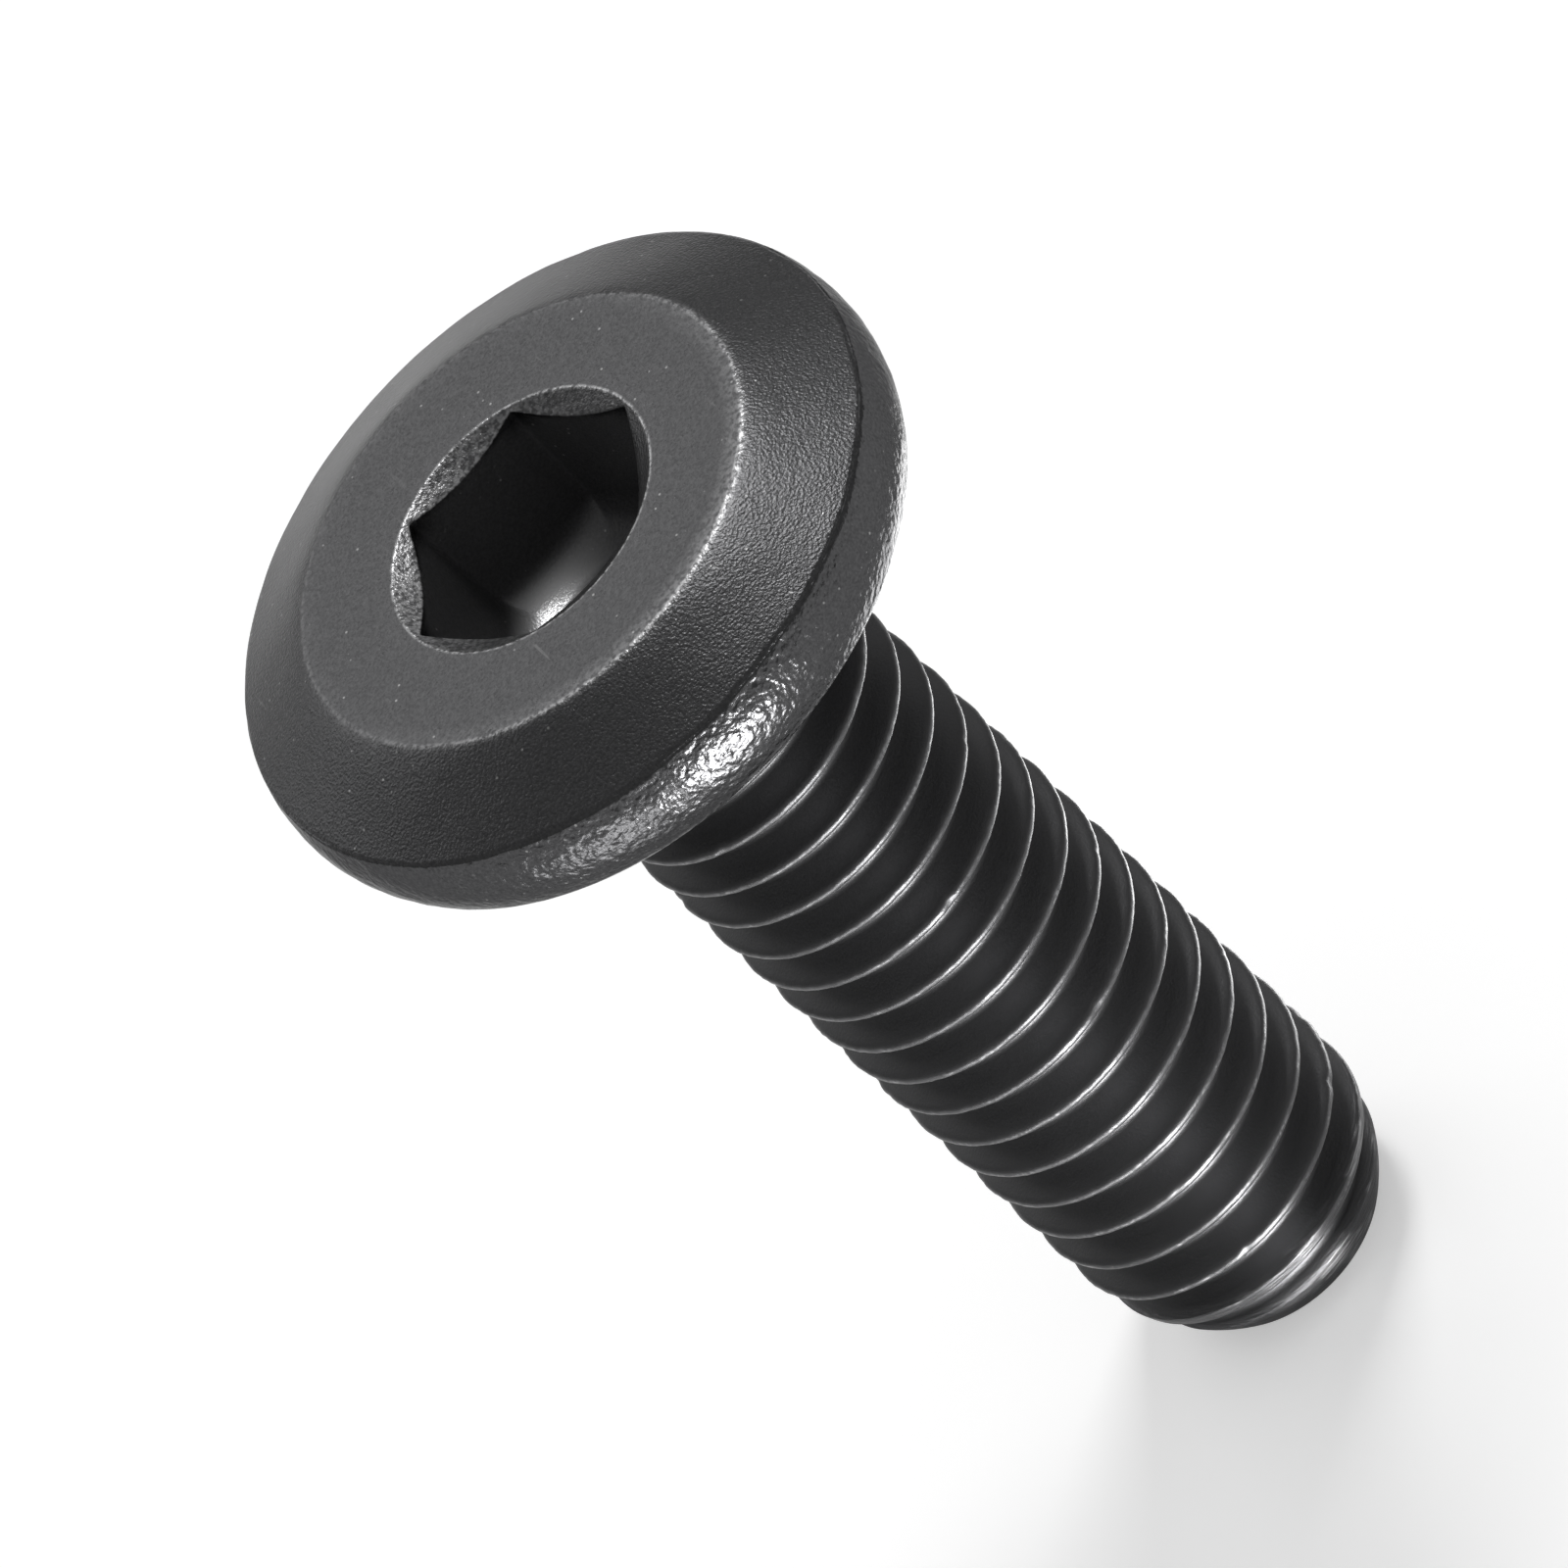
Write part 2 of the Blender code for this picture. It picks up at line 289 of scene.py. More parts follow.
on_sink = (2.5, face - (SINK_RADIUS - 2.5) * SINK_SLOPE)
sink_corner = soft_corner(on_sink, sink_edge, (3.0, face), FINE_EDGE)[1:]
flat_ring = np.array([(r, face) for r in (3.1, 3.6, 4.1)])
bevel_corner = soft_corner((4.2, face), bevel_edge, bevel_points([4.6])[0], EDGE)
bevel = bevel_points([4.65, 4.72, 4.80, 4.90, 5.02, 5.2, 5.45, 5.75, 6.0, 6.15])
groove_zone = bevel_points(CREASE_RADIUS - np.array([0.11, 0.08, 0.055, 0.03, 0.01]))
rim_rows = [1, 2, 3, 5, 7, 10, 14, *range(18, 84, 5)]  # close together beside the groove
rim = arc(crease_point, rim_foot, RIM_BULGE, 90)[rim_rows]
foot_corner = soft_corner(rim[-1], rim_foot, bearing_edge, 0.025)
bearing_corner = soft_corner(rim_foot, bearing_edge, (4.0, BEARING_HEIGHT), FINE_EDGE)[1:]
bearing = [(5.2, BEARING_HEIGHT), (4.0, BEARING_HEIGHT), (3.2, BEARING_HEIGHT)]
fillet_turn = np.radians(np.array([0, 15, 35, 55, 75, 90]))
fillet = np.stack([
    NECK_RADIUS + NECK_FILLET * (1 - np.sin(fillet_turn)),
    BEARING_HEIGHT - NECK_FILLET * (1 - np.cos(fillet_turn)),
], axis=1)
neck = np.array([(NECK_RADIUS, NECK_FOOT + 0.3), (NECK_RADIUS, NECK_FOOT + 0.04)])

over_bevel = np.concatenate([sink_corner, flat_ring, bevel_corner, bevel, groove_zone])
outer_line = np.concatenate([over_bevel, rim, foot_corner, bearing_corner, bearing, fillet, neck])
outer_length = np.concatenate([[0], np.cumsum(np.linalg.norm(np.diff(outer_line, axis=0), axis=1))])
corner_first = len(sink_corner) + len(flat_ring)
corner_length = outer_length[corner_first + 2]  # at the middle of the bevel's corner
bevel_length = outer_length[corner_first + 3]  # where the bevel itself starts
crease_length = outer_length[len(over_bevel) - 1] + 0.01
print("outer line:", len(outer_line), "points,", outer_length[-1].round(2), "mm long")
print("crease at", crease_length.round(2), "mm")

# %% [markdown]
# Press marks: the wandering groove and the hammered rim
#
# A forged rim is never smooth. Its skin is dimpled like orange peel, which breaks a lamp's reflection into
# rings and flecks. The larger dimples are real shape here: each point moves along the surface's normal by a
# sum of sine waves. Finer grain comes later, in the material. The groove is a bell-shaped dip whose place
# and depth change slowly round the head.

# %% Moving the outer rows along their normals
outer_rows = turned(outer_line, head_angle)
tangent = np.gradient(outer_line, axis=0)
normal_line = np.stack([-tangent[:, 1], tangent[:, 0]], axis=1)
normal_line /= np.linalg.norm(normal_line, axis=1, keepdims=True)
outer_normals = turned(normal_line, head_angle)

along = outer_length[:, None]
around = np.stack([np.cos(head_angle), np.sin(head_angle), 0 * head_angle], axis=-1) * CREASE_RADIUS
groove_place = crease_length + 0.012 * waves(around, 2.2, seed=3) + 0.008 * waves(around, 0.7, seed=4)
near_side = 0.5 + 0.5 * np.cos(head_angle - np.radians(-75))  # 1 on the side that is widest and deepest
groove_depth = GROOVE_DEPTH + GROOVE_GROWTH * near_side**3 + 0.005 * waves(around, 1.1, seed=5)
groove_width = GROOVE_WIDTH + GROOVE_SPREAD * near_side**3
groove = groove_depth * np.exp(-(((along - groove_place) / groove_width) ** 2))

from_crease = along - crease_length
rim_share = np.clip((from_crease - 0.02) / 0.15, 0, 1) * np.clip((RIM_LENGTH - from_crease) / 0.15, 0, 1)
dimples = rim_share * (0.0035 * waves(outer_rows, 0.55, seed=6) + 0.0022 * waves(outer_rows, 0.30, seed=7))
bevel_share = np.clip((along - bevel_length) / 0.3, 0, 1) * (1 - np.clip(from_crease / 0.05, 0, 1))
rolled = bevel_share * 0.0016 * waves(outer_rows, 1.3, seed=8)
edge_wander = 0.003 * waves(around, 0.5, seed=9) * np.exp(-(((along - corner_length) / 0.08) ** 2))

lift = dimples + rolled + edge_wander - groove - RIM_SINK * rim_share
outer_rows = outer_rows + outer_normals * lift[..., None]
outer_rows[..., 2] = np.clip(outer_rows[..., 2], None, FACE_HEIGHT)
print("deepest groove", groove.max().round(3), "mm, dimples within", np.abs(dimples).max().round(4), "mm")


# %% [markdown]
# The thread
#
# A rolled metric thread is a ridge that winds up the shank. It could be cut by a boolean, or turned by a
# screw modifier, but a rolled thread also has to fade into the neck above and run out on the nose below. So
# it is worked out as one strip. The strip is one pitch tall and winds up like a ramp: its upper edge at one
# turn is its lower edge at the next. Each row of the strip keeps its place on the ridge, so the crests stay
# crisp all the way.


# %% Thread profile and the outlines that limit it
def ridge(share):
    """Radius at a share of the pitch from the crest: a round crest, a straight flank and a flat root.

    The flank's line would meet its mirror image in a peak above the crest. The round that touches both lines
    and just reaches the crest's radius has a radius equal to the peak's height above it."""
    away = PITCH * np.minimum(share % 1, 1 - share % 1)
    peak = ROOT_RADIUS + FLANK_SLOPE * PITCH * (0.5 - ROOT_HALF)
    crest_round = peak - CREST_RADIUS
    cap = CREST_RADIUS - crest_round + np.sqrt(np.maximum(crest_round**2 - away**2, 0))
    flank = np.maximum(peak - FLANK_SLOPE * away, ROOT_RADIUS)
    return np.where(away < crest_round * math.cos(math.radians(30)), cap, flank)


def soft_least(a, b, reach):
    """The lesser of a and b, rounded where they are within reach of each other.

    It is their mean less half the root of their difference squared plus the reach squared."""
    return (a + b - np.sqrt((a - b) ** 2 + reach**2)) / 2


nose = arc((CREST_RADIUS, NOSE_HEIGHT), (END_RADIUS, 0), NOSE_BULGE, 40)[::-1]
neck_cone = NECK_FOOT - 1.5 * RUN_OUT


def outline(height):
    """Largest radius at a height: the nose's arc below, open in the middle, a 45 degree cone at the neck."""
    low = np.interp(height, nose[:, 1], nose[:, 0], right=CREST_RADIUS + 0.3)
    low = np.where(height > NOSE_HEIGHT, CREST_RADIUS + 0.02 + (height - NOSE_HEIGHT) * 0.2, low)
    return np.minimum(low, 2.4 + NECK_FOOT - height)


def core(height):
    """Least radius at a height: the neck, narrowing over the run-out until the groove has its full depth."""
    start = NECK_RADIUS - 1.5 * (NECK_RADIUS - ROOT_RADIUS)
    return np.interp(height, [neck_cone, NECK_FOOT], [start, NECK_RADIUS], left=0)


half_rows = np.array([0.03, 0.06, 0.094, 0.13, 0.25, 0.37, 0.43])
row_shares = np.concatenate([[0], half_rows, 1 - half_rows[::-1]])
print("thread depth", round(CREST_RADIUS - ROOT_RADIUS, 3), "mm,", len(row_shares), "rows in a pitch")

# %% [markdown]
# Nicks and burrs on the crests
#
# A crest is where two streams of metal meet when a thread is rolled, and the first place that rubs on the
# next bolt in the bag. Its line wavers by a few thousandths of a millimetre, and here and there a nick of a
# few hundredths is struck into it. Both are numbers for each column of the strip, strongest on the crest
# and nothing at the root.

# %% Thread strip
turns = math.ceil(NECK_FOOT / PITCH) + 3
strip_columns = turns * THREAD_COLUMNS
column = np.arange(strip_columns)
angle = 2 * np.pi * column / THREAD_COLUMNS
crest_height = FIRST_CREST + PITCH * (column / THREAD_COLUMNS - 2)

strip_angle = angle[:, None] + 0 * row_shares
strip_height = crest_height[:, None] + PITCH * row_shares
draw = np.random.default_rng(21)
on_crest = np.exp(-((np.minimum(row_shares, 1 - row_shares) / 0.085) ** 2))
path = np.stack([np.cos(angle) * CREST_RADIUS, np.sin(angle) * CREST_RADIUS, crest_height], axis=-1)
waver = 0.005 * waves(path, 0.9, seed=22) + 0.005 * waves(path, 0.28, seed=23)
struck = np.clip(draw.normal(size=strip_columns) - 1.9, 0, 1)
nick = 0.045 * (struck + 0.5 * np.roll(struck, 1) + 0.3 * np.roll(struck, -1))
nick = np.maximum(nick + 0.004 * waves(path, 0.22, seed=24), -CREST_SINK)
below = np.where(row_shares > 0.5, 1.0, 0.0)  # rows under a crest belong to the ridge above them
next_column = np.clip(column + THREAD_COLUMNS, 0, strip_columns - 1)


def by_ridge(values):
    """Values given along the crest, for each point of the strip: its upper rows are the next turn's crest."""
    return values[:, None] * (1 - below) + values[next_column][:, None] * below


strip_height = strip_height + by_ridge(waver) * on_crest
strip_low, strip_high = END_EDGE, NECK_FOOT
strip_height = np.clip(strip_height, strip_low, strip_high)
ridge_radius = ridge(row_shares) + 0 * strip_height - by_ridge(nick + CREST_SINK) * on_crest
strip_radius = np.maximum(soft_least(ridge_radius, outline(strip_height), 0.03), core(strip_height))
strip_radius = np.where(strip_height <= strip_low, outline(np.array(strip_low)), strip_radius)
strip_radius = np.where(strip_height >= strip_high, NECK_RADIUS, strip_radius)
strip = rows_round(strip_radius, strip_height, strip_angle)
print("thread strip:", turns, "turns,", strip.shape[0] * strip.shape[1], "points")

# %% [markdown]
# The end of the shank
#
# The nose closes with a small rounded edge and the flat end on which the bolt stands. It is only a few rows
# and one point in the middle, in the thread's columns.

# %% End rows
end_line = np.array([
    (outline(np.array(0.03)) - 0.01, 0.022), (END_RADIUS - 0.035, 0.003),
    (END_RADIUS - 0.07, 0.0), (END_RADIUS - 0.12, 0.0), (1.2, 0.0), (0.4, 0.0),
])
end_rows = turned(end_line, thread_angle)
print("flat end", round(2 * end_line[2, 0], 2), "mm across")

# %% [markdown]
# One closed skin
#
# The rows become one mesh. Faces between two rows join the points with the same column, and the last column
# joins the first. In the strip, the points that were held at the lowest or highest height are one ring, so
# they share the numbers of that ring, and triangles that shrink to a line drop out. At the neck, two
# columns of the head meet one of the thread. A closed skin whose faces all point outwards has a positive
# volume, so the volume is the test.


# %% Numbering points and joining rows
def ring_quads(first, rows, columns):
    """Four corners of each face between neighbouring rows, for rows that are numbered from first."""
    number = first + np.arange(rows * columns).reshape(rows, columns)
    beside = np.roll(number, -1, axis=1)
    return np.stack([number[:-1], number[1:], beside[1:], beside[:-1]], axis=-1).reshape(-1, 4)


head_rows = np.concatenate([socket_rows, outer_rows])
head_count = head_rows.shape[0] * HEAD_COLUMNS
strip_first = head_count
strip_number = strip_first + np.arange(strip.shape[0] * strip.shape[1]).reshape(strip.shape[:2])
top_ring = strip_first + strip_number.size + np.arange(THREAD_COLUMNS)
low_ring = top_ring + THREAD_COLUMNS
end_first = low_ring[-1] + 1
point_list = [
    head_rows.reshape(-1, 3), strip.reshape(-1, 3),
    rows_round(NECK_RADIUS, NECK_FOOT + 0 * thread_angle, thread_angle),
    rows_round(outline(np.array(strip_low)) + 0 * thread_angle, strip_low + 0 * thread_angle, thread_angle),
    end_rows.reshape(-1, 3),
]
pole_first = sum(len(part) for part in point_list)
socket_tip = [0, 0, socket_bottom[0, 0, 2] - 0.02]
point_list.append(np.array([socket_tip, [0, 0, 0]]))
points = np.concatenate(point_list)

ring_column = column % THREAD_COLUMNS
strip_number = np.where(strip_height >= strip_high, top_ring[ring_column][:, None], strip_number)
strip_number = np.where(strip_height <= strip_low, low_ring[ring_column][:, None], strip_number)
upper_edge = np.concatenate([strip_number[THREAD_COLUMNS:, 0], top_ring[ring_column[-THREAD_COLUMNS:]]])
ramp = np.concatenate([strip_number, upper_edge[:, None]], axis=1)
strip_quads = np.stack([ramp[:-1, :-1], ramp[1:, :-1], ramp[1:, 1:], ramp[:-1, 1:]], axis=-1).reshape(-1, 4)

head_quads = ring_quads(0, head_rows.shape[0], HEAD_COLUMNS)
end_quads = ring_quads(end_first, end_rows.shape[0], THREAD_COLUMNS)
first_end = end_first + np.arange(THREAD_COLUMNS)
low_quads = np.stack([low_ring, first_end, np.roll(first_end, -1), np.roll(low_ring, -1)], axis=-1)
quads = np.concatenate([head_quads, strip_quads, low_quads, end_quads])

# %% Triangles at the neck and the two poles
neck_ring = head_count - HEAD_COLUMNS + np.arange(HEAD_COLUMNS)
even, odd, next_even = neck_ring[0::2], neck_ring[1::2], np.roll(neck_ring[0::2], -1)
next_top = np.roll(top_ring, -1)
neck_triangles = np.concatenate([
    np.stack([even, top_ring, odd], axis=-1),
    np.stack([odd, top_ring, next_top], axis=-1),
    np.stack([odd, next_top, next_even], axis=-1),
])
socket_ring = np.arange(HEAD_COLUMNS)
last_end = pole_first - THREAD_COLUMNS + np.arange(THREAD_COLUMNS)
pole_triangles = np.concatenate([
    np.stack([np.full(HEAD_COLUMNS, pole_first), socket_ring, np.roll(socket_ring, -1)], axis=-1),
    np.stack([np.full(THREAD_COLUMNS, pole_first + 1), np.roll(last_end, -1), last_end], axis=-1),
])
triangles = np.concatenate([quads[:, [0, 1, 2]], quads[:, [0, 2, 3]], neck_triangles, pole_triangles])
is_real = (triangles != np.roll(triangles, 1, axis=1)).all(axis=1)  # no corner is the same as its neighbour
triangles = triangles[is_real]
used, triangles = np.unique(triangles, return_inverse=True)
triangles = triangles.reshape(-1, 3)
points = points[used]
corner_a, corner_b, corner_c = (points[triangles[:, i]] for i in range(3))
volume = np.einsum("ij,ij->i", corner_a, np.cross(corner_b, corner_c)).sum() / 6
print(len(triangles), "triangles, volume", volume.round(1), "cubic mm")

# %% [markdown]
# Where the skin is worn
#
# The material has to know what it covers: the crests of the thread, the head's edges, the hammered rim and
# the scraped nose. Each is a number from 0 to 1 at every point, stored in the mesh as an attribute, and
# worked out from the point's distance to that feature. Some also carry painted light: the edges' wear is
# strongest on the sides where it paints highlights, a polished spot in the socket is a painted highlight,
# and the rim and the shank's end get a painted shade on their reflections.

# %% Distances from a feature
radius = np.hypot(points[:, 0], points[:, 1])
height = points[:, 2]
turn = np.arctan2(points[:, 1], points[:, 0]) / (2 * np.pi)


def closeness(distance, reach):
    """1 on the feature, falling to 0 like a bell curve at about twice the reach."""
    return np.exp(-((distance / reach) ** 2))


def toward(degrees):
    """1 on the side that looks in this direction, 0 on the opposite side: half of one plus the cosine."""
    return 0.5 + 0.5 * np.cos(turn * 2 * np.pi - np.radians(degrees))


# %% Wear of the thread and the nose
on_shank = (height < BEARING_HEIGHT - 0.5).astype(float)
on_head = 1 - on_shank
from_crest = (height - FIRST_CREST) / PITCH - turn
from_crest = np.abs(from_crest - np.round(from_crest)) * PITCH
crest_wear = on_shank * closeness(from_crest, 0.036) * np.clip((radius - 2.72) / 0.12, 0, 1)
in_nose_skin = np.clip(1.3 - np.abs(radius - outline(height)) / 0.10, 0, 1)
nose_wear = on_shank * in_nose_skin * np.clip((NOSE_HEIGHT - height) / 0.3, 0, 1)
# The shank's lower end: a little rougher, and the specular tint halves its reflections there, a painted
# shade.
shank_end = on_shank * np.clip((1.7 - height) / 0.9, 0, 1)
print("rubbed crests on", int((crest_wear > 0.5).sum()), "points")

# %% Wear of the head's edges and of the socket, with painted highlights on one side
# Degrees round the axis. Towards the first two the bared steel of the bevel's edge and of the countersink is
# strongest, which paints their highlights as well as wear. Towards the third lies the polished spot in the
# socket, a painted highlight.
RUBBED_HIGHLIGHT_SIDE, MOUTH_HIGHLIGHT_SIDE, POLISH_HIGHLIGHT_SIDE = -62, 150, 122  # degrees round the axis
mouth_here = FACE_HEIGHT - np.interp(turn * 360 % 360, np.degrees(head_angle), mouth_drop, period=360)
inside_sink = on_head * (radius < SINK_RADIUS)
mouth_wear = inside_sink * closeness(height - mouth_here - 0.01, 0.03)
sink_wear_and_highlight = inside_sink * np.clip((height - mouth_here) / 0.04, 0, 1)
bevel_edge_distance = np.hypot(radius - FACE_RADIUS, height - FACE_HEIGHT)
edge_wear_and_highlight = np.maximum.reduce([
    # The bevel's edge is bared all round, most on the near side, where the lighter steel also paints the
    # edge's highlight.
    on_head * closeness(bevel_edge_distance, 0.055) * (0.12 + 0.88 * toward(RUBBED_HIGHLIGHT_SIDE) ** 3),
    on_head * closeness(np.hypot(radius - SINK_RADIUS, height - FACE_HEIGHT), 0.025) * 0.8,
    on_head * closeness(np.hypot(radius - RIM_FOOT_RADIUS, height - BEARING_HEIGHT), 0.07),
    # One side of the countersink and its mouth is lighter: partly wear, partly a painted highlight on its
    # facets.
    np.maximum(mouth_wear, 0.55 * sink_wear_and_highlight) * toward(MOUTH_HIGHLIGHT_SIDE),
])
below_crease = np.clip((FACE_HEIGHT - CREASE_DROP - height) / 0.05, 0, 1)
rim_area = on_head * np.clip((radius - 6.1) / 0.1, 0, 1) * below_crease
pressed = on_head * np.clip((FACE_HEIGHT - 0.22 - height) / 0.1, 0, 1) * (radius < HALF_FLATS * 1.17)
# A pale polished spot low in the socket, on one side only: steel that the punch has polished, and a painted
# highlight where a lamp's reflection falls.
below_flats = np.clip((FACE_HEIGHT - SOCKET_DEPTH - 0.12 - height) / 0.45, 0, 1) ** 1.3
from_polish_highlight = np.angle(np.exp(1j * (turn * 2 * np.pi - np.radians(POLISH_HIGHLIGHT_SIDE))))
polish_and_highlight = pressed * below_flats * closeness(from_polish_highlight, np.radians(36))
print("worn edges on", int((edge_wear_and_highlight > 0.5).sum()), "points")

# %% The mesh and its attributes
point_values = {
    "crest_wear": crest_wear, "nose_wear": nose_wear, "edge_wear_and_highlight": edge_wear_and_highlight, "rim": rim_area,
    "pressed": pressed, "shank": on_shank, "polish_and_highlight": polish_and_highlight, "shank_end": shank_end,
}
mesh = bpy.data.meshes.new("bolt_skin")
mesh.vertices.add(len(points))
mesh.vertices.foreach_set("co", (points * MM).astype(np.float32).ravel())
mesh.loops.add(triangles.size)
mesh.loops.foreach_set("vertex_index", triangles.astype(np.int32).ravel())
mesh.polygons.add(len(triangles))
mesh.polygons.foreach_set("loop_start", np.arange(0, triangles.size, 3, dtype=np.int32))
mesh.update(calc_edges=True)
mesh.validate()
mesh.shade_smooth()
for name, values in point_values.items():
    mesh.attributes.new(name, "FLOAT", "POINT").data.foreach_set("value", values.astype(np.float32))
bolt = bpy.data.objects.new("bolt_skin", mesh)
bpy.context.scene.collection.objects.link(bolt)
print("open edges", len(mesh.edges) - len(mesh.polygons) * 3 // 2)


# %% [markdown]
# Colours and nodes
#
# Colours are written as they look on a screen, in sRGB. Blender works with light, so one function turns
# them into linear values. Another adds a node, sets its values, links its inputs and hands back one of its
# outputs, so that each line of a material reads as one step. Some inputs are given by number. Those of a
# Map Range are, in order, the value, the range that it comes from and the range that it is stretched to,
# which is 0 to 1 where nothing else is said. Those of a colour Mix are 0 for the share, and 6 and 7 for the
# two colours.


# %% Colour and node helpers
def linear(hex_colour):
    """Linear RGBA from sRGB hex: ((c + 0.055) / 1.055) to the power 2.4, or c / 12.92 near black."""
    parts = [int(hex_colour[i : i + 2], 16) / 255 for i in (1, 3, 5)]
    return tuple(p / 12.92 if p <= 0.04045 else ((p + 0.055) / 1.055) ** 2.4 for p in parts) + (1.0,)


def add_node(tree, kind, inputs=None, output=0, **settings):
    """Adds a node to a tree and returns one of its outputs, by number or by name.

    An input is set to a value, or linked when the output of another node is given for it."""
    node = tree.nodes.new("ShaderNode" + kind)
    for key, value in settings.items():
        setattr(node, key, value)
    for key, value in (inputs or {}).items():
        if isinstance(value, bpy.types.NodeSocket):
            tree.links.new(value, node.inputs[key])
        else:
            node.inputs[key].default_value = value
    return node.outputs[output] if len(node.outputs) else None


print("black oxide #4B4B4C is", [round(c, 3) for c in linear("#4B4B4C")[:3]], "in linear light")

# %% [markdown]
# Black-oxide steel
#
# The bolt is carbon steel, cold forged and then blackened in a hot alkaline bath. The skin is a few
# thousandths of a millimetre of magnetite. It is conductive and dark, so it is made as a metal with a dark
# colour. Its roughness is that of the blasted and tumbled steel under it, which gives the eye a satin
# grain. The dents of blasting are about 0.03 mm wide, which is under two pixels here, so they are drawn at
# 0.05 mm. On crests and edges the skin has rubbed thin, and lighter steel shows in short broken lines. On
# the near side of the bevel's edge and on one side of the countersink, that lighter steel also paints the
# highlights there.
#
# Every pattern reads the object's own coordinates, turned to millimetres, so a scale is one over a size in
# millimetres.

# %% Material: patterns in millimetres
steel = bpy.data.materials.new("black_oxide_steel")
steel.use_nodes = True
tree = steel.node_tree
tree.nodes.clear()

PATTERNS = {  # the size of its lumps in millimetres, and how much finer detail it has
    "grain": (0.052, 1.5),  # the blasted surface
    "dimples": (0.13, 0.8),  # the finest dimples of the rim
    "blots": (0.09, 1.0),  # the ragged outline of a worn place
    "rubbed": (0.5, 2.0),  # stretches of a crest that have rubbed
    "scraped": (0.8, 2.0),  # patches of the nose that have been dragged over something
    "handled": (1.2, 2.0),  # patches of the head that have scratches
    "bath": (1.4, 3.0),  # slow changes of gloss from the blackening bath
}
place = add_node(tree, "TexCoord", output="Object")
place_mm = add_node(tree, "VectorMath", {0: place, 1: (1000, 1000, 1000)}, operation="MULTIPLY")
noise = {
    name: add_node(tree, "TexNoise", {"Vector": place_mm, "Scale": 1 / size, "Detail": detail}, "Fac")
    for name, (size, detail) in PATTERNS.items()
}
# Lumps of 0.7 mm, flattened to 0.05 mm along the axis, are the rings that scraping leaves on the nose.
ring_place = add_node(tree, "VectorMath", {0: place_mm, 1: (1, 1, 14)}, operation="MULTIPLY")
noise["rings"] = add_node(tree, "TexNoise", {"Vector": ring_place, "Scale": 1.4, "Detail": 3.0}, "Fac")
share_of = {name: add_node(tree, "Attribute", output="Fac", attribute_name=name) for name in point_values}
print("pattern nodes:", len(tree.nodes))

# %% [markdown]
# Worn places
#
# An attribute says where the skin can be worn, and patterns break it up. Each pattern is stretched to a
# share and multiplied in, so a worn line has gaps and ragged sides. The most worn of the three kinds counts
# at each point. The edges' kind also paints highlights on one side of the bevel's edge and the countersink.

# %% Material: worn places
WEAR = {  # for each attribute: a pattern, the range of it that is used, and the shares at its two ends
    "crest_wear": [("rubbed", 0.40, 0.65, 0.05, 0.52), ("blots", 0.35, 0.60, 0.2, 1.3)],
    # the edges' wear also paints highlights on one side of the bevel's edge and the countersink
    "edge_wear_and_highlight": [("blots", 0.38, 0.60, 0.18, 1.3)],
    "nose_wear": [("scraped", 0.46, 0.56, 0.0, 1.0), ("rings", 0.42, 0.60, 0.0, 0.65)],
}
wear = {}
for name, steps in WEAR.items():
    wear[name] = share_of[name]
    for pattern, low, high, least, most in steps:
        share = add_node(tree, "MapRange", {0: noise[pattern], 1: low, 2: high, 3: least, 4: most})
        wear[name] = add_node(tree, "Math", {0: wear[name], 1: share}, operation="MULTIPLY")
worn = add_node(tree, "Math", {0: wear["crest_wear"], 1: wear["edge_wear_and_highlight"]}, operation="MAXIMUM")
worn = add_node(tree, "Math", {0: worn, 1: wear["nose_wear"]}, operation="MAXIMUM")
print("kinds of wear:", len(wear))

# %% [markdown]
# Specks and scratches
#
# Pale specks of lint and bare steel lie on the head. A Voronoi texture has one random point in each cell. A
# small distance from it makes a dot, and the cell's random colour decides whether its dot is kept. A
# scratch is noise that is drawn out along one direction, of which only the highest ridges count.

# %% Material: specks and scratches
SPECK_SPACING, SPECK_SOLID, SPECK_END = 0.28, 0.06, 0.11  # cell in mm, and the dot's reach as a share of it
SCRATCH_LINE = {"Rotation": (0, 0, math.radians(24)), "Scale": (1, 0.07, 1)}

stretched = add_node(tree, "Mapping", {"Vector": place_mm, **SCRATCH_LINE})
lines = add_node(tree, "TexNoise", {"Vector": stretched, "Scale": 13.0, "Detail": 0.0}, "Fac")  # 0.08 mm wide
line_share = add_node(tree, "MapRange", {0: lines, 1: 0.740, 2: 0.780, 4: 0.22})
scratch_patch = add_node(tree, "MapRange", {0: noise["handled"], 1: 0.55, 2: 0.65})
scratched = add_node(tree, "Math", {0: line_share, 1: scratch_patch}, operation="MULTIPLY")

cells = add_node(tree, "TexVoronoi", {"Vector": place_mm, "Scale": 1 / SPECK_SPACING}).node.outputs
dot = add_node(tree, "MapRange", {0: cells["Distance"], 1: SPECK_SOLID, 2: SPECK_END, 3: 1.0, 4: 0.0})
lot = add_node(tree, "SeparateColor", {0: cells["Color"]})
kept = add_node(tree, "MapRange", {0: lot, 1: 0.60, 2: 0.64})
speck = add_node(tree, "Math", {0: dot, 1: kept}, operation="MULTIPLY")
speck = add_node(tree, "Math", {0: speck, 1: scratched}, operation="MAXIMUM")
print("specks about", round(2 * SPECK_END * SPECK_SPACING, 3), "mm across")

# %% [markdown]
# Colour and gloss
#
# The colour starts from two dark greys that follow the grain, and each layer is mixed over the one before.
# The rolled shank's skin is darker and duller than the head's. The rim is the glossiest place, because it
# has rolled against its neighbours in the drum. Steel that the punch has polished shines in the socket, and
# its near-white spot on one side of the bottom is a painted highlight.

